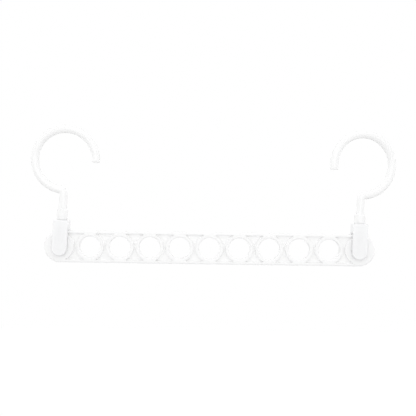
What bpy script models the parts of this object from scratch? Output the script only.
"""Multi-hole clothes hanger, modelled as it hangs from a rail.

A flat bar with a row of ringed garment holes is held at each end by a forked yoke that
snaps into the bar's end bore, and each yoke carries an open ring hook that swivels on its
stem. The origin is midway between the hooks, where a rail touches the inner top of their
rings. +X runs along the bar to the right, -Y is the front and +Z is up. Lengths are in
metres.
"""

import math

import bmesh
import bpy

MM = 0.001

# Bar: a round-ended strip with a rim, a web and a ring round each garment hole
HOLE_COUNT = 9
HOLE_PITCH = 30 * MM
HOLE_RADIUS = 10.5 * MM
HOLE_FILLET = 1.2 * MM
RING_WALL = 3.5 * MM
BAR_HEIGHT = 32 * MM
BAR_DEPTH = 7.5 * MM
RIM_WALL = 2.8 * MM
RIM_FILLET = 1.4 * MM
WEB_THICKNESS = 3 * MM

# Yoke: a fork with two round-bottomed ears, studs inside them and a solid top block
YOKE_WIDTH = 15 * MM
YOKE_RISE = 26.5 * MM
YOKE_DROP = 1.7 * MM
YOKE_FILLET = 1 * MM
EAR_THICKNESS = 3.9 * MM
EAR_CLEARANCE = 0.35 * MM
ROOF_CLEARANCE = 0.6 * MM
STUD_DIAMETER = 8 * MM
STUD_LENGTH = 2.5 * MM
STUD_CHAMFER = 0.5 * MM
STUD_CLEARANCE = 0.3 * MM

# Hook: an open ring of round rod on a stem, with a collar and a split snap head
ROD_DIAMETER = 8 * MM
RING_INNER_RADIUS = 26.7 * MM
RING_RISES = {"left": 87.4 * MM, "right": 86.2 * MM}
RING_OFFSETS = {"left": 0.3 * MM, "right": 1.2 * MM}
TIP_STRAIGHTS = {"left": 0.3 * MM, "right": 5.4 * MM}
TIP_FILLET = 1.2 * MM
BEND_RADIUS = 4.8 * MM
COLLAR_DIAMETER = 10.8 * MM
COLLAR_HEIGHTS = {"left": 10.5 * MM, "right": 9.3 * MM}
COLLAR_TAPER = 0.8 * MM
COLLAR_CLEARANCE = 0.3 * MM
NECK_DIAMETER = 5.4 * MM
HEAD_DIAMETER = 7.4 * MM
HEAD_HEIGHT = 3.8 * MM
HEAD_LEAD = 1.6 * MM
HEAD_TIP_DIAMETER = 4.6 * MM
HEAD_RECESS = 0.4 * MM
SWIVEL_CLEARANCE = 0.3 * MM
SLIT_WIDTH = 1.4 * MM
SLIT_HEIGHT = 6.6 * MM

# Rest pose: how far each hook leans to the right, and how far it is turned on its stem.
# An unturned hook opens to the right, so the right one is turned half round to face it.
LEANS = {"left": math.radians(2.7), "right": math.radians(1.8)}
SWIVELS = {"left": 0, "right": math.radians(190)}
SIDES = {"left": -1, "right": 1}

# Plastics: color and roughness of each kind of piece
PLASTICS = {
    "bar": ((0.88, 0.88, 0.88), 0.35),
    "yoke": ((0.86, 0.87, 0.88), 0.32),
    "hook": ((0.9, 0.9, 0.9), 0.28),
}

# Facets and working values
END_STEPS = 24
HOLE_SIDES = 32
POCKET_STEPS = 11
FILLET_STEPS = 2
YOKE_STEPS = 16
STUD_SIDES = 32
TURNED_SIDES = 32
RING_STEPS = 34
BEND_STEPS = 6
ROD_RESOLUTION = 6
CUT_OVERRUN = 1 * MM
MERGE_DISTANCE = 0.01 * MM
SHARP_ANGLE = math.radians(35)

# Sizes that follow from the ones above
PIVOT_X = (HOLE_COUNT + 1) / 2 * HOLE_PITCH
PIVOT_Z = -(RING_RISES["left"] + RING_INNER_RADIUS)
RING_OUTER_RADIUS = HOLE_RADIUS + RING_WALL
POCKET_REACH = BAR_HEIGHT / 2 - RIM_WALL
SLOT_WIDTH = BAR_DEPTH + 2 * EAR_CLEARANCE
SLOT_ROOF = BAR_HEIGHT / 2 + ROOF_CLEARANCE
YOKE_DEPTH = SLOT_WIDTH + 2 * EAR_THICKNESS
RING_MEAN_RADIUS = RING_INNER_RADIUS + ROD_DIAMETER / 2
HEAD_BOTTOM = SLOT_ROOF + HEAD_RECESS
HEAD_TOP = HEAD_BOTTOM + HEAD_HEIGHT
COLLAR_BOTTOM = YOKE_RISE + COLLAR_CLEARANCE


def empty_scene():
    """Remove every object, so that the model starts from nothing."""
    for old in list(bpy.data.objects):
        bpy.data.objects.remove(old, do_unlink=True)


def new_collection(name, parent):
    """A collection inside another one."""
    collection = bpy.data.collections.new(name)
    parent.children.link(collection)
    return collection


def plastic(name, color, roughness):
    """Glossy moulded plastic of one piece."""
    material = bpy.data.materials.new(name)
    material.use_nodes = True
    shader = material.node_tree.nodes["Principled BSDF"]
    shader.inputs["Base Color"].default_value = (*color, 1)
    shader.inputs["Roughness"].default_value = roughness
    shader.inputs["Metallic"].default_value = 0
    return material


def arc(centre_x, centre_z, radius, start, end, steps):
    """Points along an arc in X and Z, both ends included."""
    points = []
    for step in range(steps + 1):
        angle = start + (end - start) * step / steps
        points.append((centre_x + radius * math.cos(angle), centre_z + radius * math.sin(angle)))
    return points


def mesh_from_curve(name, guide, collection):
    """Turn a curve object into a welded mesh object in the same place."""
    bpy.context.view_layer.update()
    depsgraph = bpy.context.evaluated_depsgraph_get()
    mesh = bpy.data.meshes.new_from_object(guide.evaluated_get(depsgraph))
    welded = bmesh.new()
    welded.from_mesh(mesh)
    bmesh.ops.remove_doubles(welded, verts=welded.verts, dist=MERGE_DISTANCE)
    welded.to_mesh(mesh)
    welded.free()
    solid = bpy.data.objects.new(name, mesh)
    collection.objects.link(solid)
    solid.matrix_world = guide.matrix_world
    bpy.data.objects.remove(guide, do_unlink=True)
    return solid


def outline_solid(name, points, thickness, collection):
    """A flat outline in X and Z, extruded by half its thickness to the front and back."""
    curve = bpy.data.curves.new(name, "CURVE")
    curve.dimensions = "2D"
    curve.fill_mode = "BOTH"
    curve.extrude = thickness / 2
    spline = curve.splines.new("POLY")
    spline.points.add(len(points) - 1)
    spline.use_cyclic_u = True
    for point, (x, z) in zip(spline.points, points):
        point.co = (x, z, 0, 1)
    guide = bpy.data.objects.new("guide", curve)
    guide.rotation_euler.x = math.pi / 2
    collection.objects.link(guide)
    return mesh_from_curve(name, guide, collection)


def turned_solid(name, profile, sides, collection):
    """A solid turned about its Z axis from a profile of (radius, height), top to bottom."""
    mesh = bpy.data.meshes.new(name)
    points = [(radius, 0, height) for radius, height in profile]
    edges = [(index, index + 1) for index in range(len(points) - 1)]
    mesh.from_pydata(points, edges, [])
    solid = bpy.data.objects.new(name, mesh)
    collection.objects.link(solid)
    screw = solid.modifiers.new("Turn", "SCREW")
    screw.steps = sides
    screw.render_steps = sides
    screw.use_merge_vertices = True
    screw.merge_threshold = MERGE_DISTANCE
    return solid


def box_solid(name, lows, highs, collection):
    """A box between two corners."""
    shape = bmesh.new()
    bmesh.ops.create_cube(shape, size=1)
    sizes = [high - low for low, high in zip(lows, highs)]
    middles = [(high + low) / 2 for low, high in zip(lows, highs)]
    bmesh.ops.scale(shape, vec=sizes, verts=shape.verts)
    bmesh.ops.translate(shape, vec=middles, verts=shape.verts)
    mesh = bpy.data.meshes.new(name)
    shape.to_mesh(mesh)
    shape.free()
    solid = bpy.data.objects.new(name, mesh)
    collection.objects.link(solid)
    return solid


def round_edges(solid, width):
    """Round the sharp edges of a solid, and leave the facets of its arcs alone."""
    bevel = solid.modifiers.new("Rounded edges", "BEVEL")
    bevel.width = width
    bevel.segments = FILLET_STEPS
    bevel.limit_method = "ANGLE"
    bevel.angle_limit = SHARP_ANGLE


def hide_guide(guide):
    """Show a cutter as wires only, outside the model."""
    guide.hide_render = True
    guide.display_type = "WIRE"


def combine(solid, operand, operation):
    """Cut or join a solid with another shape, which becomes a hidden guide."""
    hide_guide(operand)
    boolean = solid.modifiers.new(operand.name, "BOOLEAN")
    boolean.operation = operation
    boolean.solver = "EXACT"
    boolean.object = operand


def cut_with_all(solid, cutters):
    """Cut a solid with every shape in a collection at once."""
    for cutter in cutters.objects:
        hide_guide(cutter)
    boolean = solid.modifiers.new(cutters.name, "BOOLEAN")
    boolean.operation = "DIFFERENCE"
    boolean.solver = "EXACT"
    boolean.operand_type = "COLLECTION"
    boolean.collection = cutters


def finish(solid, kind):
    """Give a piece its own plastic and smooth shading over its round stretches."""
    solid.data.materials.clear()
    solid.data.materials.append(plastic(solid.name, *PLASTICS[kind]))
    solid.data.shade_smooth()
    solid.data.set_sharp_from_angle(angle=SHARP_ANGLE)


def bar_outline():
    """Round-ended outline of the bar about its own centre."""
    radius = BAR_HEIGHT / 2
    quarter = math.pi / 2
    right_end = arc(PIVOT_X, 0, radius, -quarter, quarter, END_STEPS)
    left_end = arc(-PIVOT_X, 0, radius, quarter, 3 * quarter, END_STEPS)
    return right_end + left_end


def pocket_outline():
    """Space between two neighbouring rings and the rim, narrow in the middle.

    Where the rim clears the rings, a rib as wide as the web is thick ties each ring to it.
    """
    half_pitch = HOLE_PITCH / 2
    half_rib = WEB_THICKNESS / 2
    rib_foot = math.sqrt(RING_OUTER_RADIUS ** 2 - half_rib ** 2)
    spread = math.asin(min(POCKET_REACH, rib_foot) / RING_OUTER_RADIUS)
    right_side = arc(half_pitch, 0, RING_OUTER_RADIUS, math.pi + spread, math.pi - spread, POCKET_STEPS)
    left_side = arc(-half_pitch, 0, RING_OUTER_RADIUS, spread, -spread, POCKET_STEPS)
    if POCKET_REACH > rib_foot:
        corner_x = half_pitch - half_rib
        right_side = [(corner_x, -POCKET_REACH)] + right_side + [(corner_x, POCKET_REACH)]
        left_side = [(-corner_x, POCKET_REACH)] + left_side + [(-corner_x, -POCKET_REACH)]
    return right_side + left_side


def hole_profile():
    """Profile of the cutter for a garment hole, flared so that both rims come out rounded."""
    half = BAR_DEPTH / 2
    flared = HOLE_RADIUS + HOLE_FILLET
    upper = arc(flared, half - HOLE_FILLET, HOLE_FILLET, math.pi / 2, math.pi, FILLET_STEPS)
    lower = arc(flared, HOLE_FILLET - half, HOLE_FILLET, math.pi, 3 * math.pi / 2, FILLET_STEPS)
    top = [(0, half + CUT_OVERRUN), (flared, half + CUT_OVERRUN)]
    bottom = [(flared, -half - CUT_OVERRUN), (0, -half - CUT_OVERRUN)]
    return top + upper + lower + bottom


def pivot_bore_profile():
    """Plain bore through the bar's end for the yoke's studs."""
    radius = STUD_DIAMETER / 2 + STUD_CLEARANCE
    reach = BAR_DEPTH / 2 + CUT_OVERRUN
    return [(0, reach), (radius, reach), (radius, -reach), (0, -reach)]


def build_bar(parts, cutters):
    """The strip with its rim, web, ringed garment holes and end bores."""
    bar = outline_solid("bar", bar_outline(), BAR_DEPTH, parts)
    bar.location.z = PIVOT_Z
    round_edges(bar, RIM_FILLET)
    pocket_depth = (BAR_DEPTH - WEB_THICKNESS) / 2 + CUT_OVERRUN
    pocket_y = (WEB_THICKNESS + pocket_depth) / 2
    for index in range(HOLE_COUNT + 1):
        x = (index - HOLE_COUNT / 2) * HOLE_PITCH
        for face, sign in (("front", -1), ("back", 1)):
            pocket = outline_solid(f"pocket_{face}_{index}", pocket_outline(), pocket_depth, cutters)
            pocket.location = (x, sign * pocket_y, PIVOT_Z)
    for index in range(HOLE_COUNT):
        hole = turned_solid(f"hole_{index}", hole_profile(), HOLE_SIDES, cutters)
        hole.location = ((index - (HOLE_COUNT - 1) / 2) * HOLE_PITCH, 0, PIVOT_Z)
        hole.rotation_euler.x = math.pi / 2
    for side, sign in SIDES.items():
        bore = turned_solid(f"pivot_bore_{side}", pivot_bore_profile(), STUD_SIDES, cutters)
        bore.location = (sign * PIVOT_X, 0, PIVOT_Z)
        bore.rotation_euler.x = math.pi / 2
    cut_with_all(bar, cutters)
    finish(bar, "bar")


def pivot_frame(side):
    """An empty on the yoke's pivot axis, leaning as the hook hangs."""
    pivot = bpy.data.objects.new(f"pivot_{side}", None)
    bpy.context.scene.collection.objects.link(pivot)
    pivot.location = (SIDES[side] * PIVOT_X, 0, PIVOT_Z)
    pivot.rotation_euler.y = LEANS[side]
    return pivot


def swivel_frame(side, pivot):
    """An empty on the hook's stem axis, turned as the hook hangs."""
    swivel = bpy.data.objects.new(f"swivel_{side}", None)
    bpy.context.scene.collection.objects.link(swivel)
    swivel.parent = pivot
    swivel.rotation_euler.z = SWIVELS[side]
    return swivel


def yoke_outline():
    """Front outline of a yoke: square above, and round below, about a point under its pivot."""
    half = YOKE_WIDTH / 2
    round_end = arc(0, -YOKE_DROP, half, math.pi, 2 * math.pi, YOKE_STEPS)
    return round_end + [(half, YOKE_RISE), (-half, YOKE_RISE)]


def swivel_bore_profile():
    """Bore for the hook's neck, with a wider space for its snap head below."""
    neck = NECK_DIAMETER / 2 + SWIVEL_CLEARANCE
    head = HEAD_DIAMETER / 2 + SWIVEL_CLEARANCE
    top = YOKE_RISE + CUT_OVERRUN
    step = HEAD_TOP + COLLAR_CLEARANCE
    bottom = SLOT_ROOF - CUT_OVERRUN
    return [(0, top), (neck, top), (neck, step), (head, step), (head, bottom), (0, bottom)]


def stud_profile():
    """A pivot stud from its chamfered free end down to its root inside the ear."""
    radius = STUD_DIAMETER / 2
    root = -EAR_THICKNESS / 2
    return [
        (0, STUD_LENGTH),
        (radius - STUD_CHAMFER, STUD_LENGTH),
        (radius, STUD_LENGTH - STUD_CHAMFER),
        (radius, root),
        (0, root),
    ]


def build_yoke(side, pivot, parts, cutters):
    """The fork that hangs on the bar's end and holds the hook's stem."""
    yoke = outline_solid(f"yoke_{side}", yoke_outline(), YOKE_DEPTH, parts)
    yoke.parent = pivot
    round_edges(yoke, YOKE_FILLET)
    half_width = YOKE_WIDTH / 2 + CUT_OVERRUN
    half_slot = SLOT_WIDTH / 2
    lows = (-half_width, -half_slot, -YOKE_DROP - half_width)
    slot = box_solid(f"slot_{side}", lows, (half_width, half_slot, SLOT_ROOF), cutters)
    slot.parent = pivot
    combine(yoke, slot, "DIFFERENCE")
    bore = turned_solid(f"swivel_bore_{side}", swivel_bore_profile(), TURNED_SIDES, cutters)
    bore.parent = pivot
    combine(yoke, bore, "DIFFERENCE")
    for face, sign in (("front", -1), ("back", 1)):
        stud = turned_solid(f"stud_{side}_{face}", stud_profile(), STUD_SIDES, cutters)
        stud.parent = pivot
        stud.location.y = sign * half_slot
        stud.rotation_euler.x = sign * math.pi / 2
        combine(yoke, stud, "UNION")
    finish(yoke, "yoke")


def tip_points(side):
    """The rod's rounded tip, a short straight stretch below the ring's middle height."""
    points = []
    for step in range(FILLET_STEPS + 1):
        turn = math.pi / 2 * step / FILLET_STEPS
        drop = TIP_STRAIGHTS[side] + TIP_FILLET * math.cos(turn)
        share = 1 - TIP_FILLET * (1 - math.sin(turn)) / (ROD_DIAMETER / 2)
        points.append((RING_MEAN_RADIUS - RING_OFFSETS[side], RING_RISES[side] - drop, share))
    return points


def hook_points(side):
    """The rod's centreline from its tip to its stem, as (x, z, share of the rod's radius)."""
    rise = RING_RISES[side]
    offset = RING_OFFSETS[side]
    span = RING_MEAN_RADIUS + BEND_RADIUS
    inset = BEND_RADIUS - offset
    drop = math.sqrt(span ** 2 - inset ** 2)
    join = math.pi + math.atan2(drop, inset)
    ring = arc(-offset, rise, RING_MEAN_RADIUS, 0, join, RING_STEPS)
    bend = arc(-BEND_RADIUS, rise - drop, BEND_RADIUS, join - math.pi, 0, BEND_STEPS)
    stem_end = (0, COLLAR_BOTTOM + COLLAR_HEIGHTS[side] / 2)
    return tip_points(side) + [(x, z, 1) for x, z in ring + bend[1:] + [stem_end]]


def rod_solid(name, points, collection):
    """Round rod along a centreline in X and Z."""
    curve = bpy.data.curves.new(name, "CURVE")
    curve.dimensions = "3D"
    curve.bevel_depth = ROD_DIAMETER / 2
    curve.bevel_resolution = ROD_RESOLUTION
    curve.use_fill_caps = True
    spline = curve.splines.new("POLY")
    spline.points.add(len(points) - 1)
    for point, (x, z, share) in zip(spline.points, points):
        point.co = (x, 0, z, 1)
        point.radius = share
    guide = bpy.data.objects.new("guide", curve)
    collection.objects.link(guide)
    return mesh_from_curve(name, guide, collection)


def foot_profile(side):
    """Collar, neck and snap head below the rod; the collar's cone starts inside the rod."""
    collar_top = COLLAR_BOTTOM + COLLAR_HEIGHTS[side]
    rod = ROD_DIAMETER / 2
    collar = COLLAR_DIAMETER / 2
    head = HEAD_DIAMETER / 2
    neck = NECK_DIAMETER / 2
    apex = collar_top + COLLAR_TAPER * rod / (collar - rod)
    return [
        (0, apex),
        (collar, collar_top - COLLAR_TAPER),
        (collar, COLLAR_BOTTOM),
        (neck, COLLAR_BOTTOM),
        (neck, HEAD_TOP),
        (head, HEAD_TOP),
        (head, HEAD_BOTTOM + HEAD_LEAD),
        (HEAD_TIP_DIAMETER / 2, HEAD_BOTTOM),
        (0, HEAD_BOTTOM),
    ]


def build_hook(side, swivel, parts, cutters):
    """The ring hook with its stem, collar and split head."""
    hook = rod_solid(f"hook_{side}", hook_points(side), parts)
    hook.parent = swivel
    foot = turned_solid(f"foot_{side}", foot_profile(side), TURNED_SIDES, cutters)
    foot.parent = swivel
    combine(hook, foot, "UNION")
    half_slit = SLIT_WIDTH / 2
    half_head = HEAD_DIAMETER / 2 + CUT_OVERRUN
    lows = (-half_head, -half_slit, HEAD_BOTTOM - CUT_OVERRUN)
    highs = (half_head, half_slit, HEAD_BOTTOM + SLIT_HEIGHT)
    slit = box_solid(f"slit_{side}", lows, highs, cutters)
    slit.parent = swivel
    combine(hook, slit, "DIFFERENCE")
    finish(hook, "hook")


def main():
    """Build the hanger."""
    empty_scene()
    scene_collection = bpy.context.scene.collection
    parts = new_collection("clothes_hanger", scene_collection)
    cutters = new_collection("cutters", scene_collection)
    build_bar(parts, new_collection("bar_cutters", cutters))
    for side in SIDES:
        pivot = pivot_frame(side)
        build_yoke(side, pivot, parts, cutters)
        build_hook(side, swivel_frame(side, pivot), parts, cutters)


main()
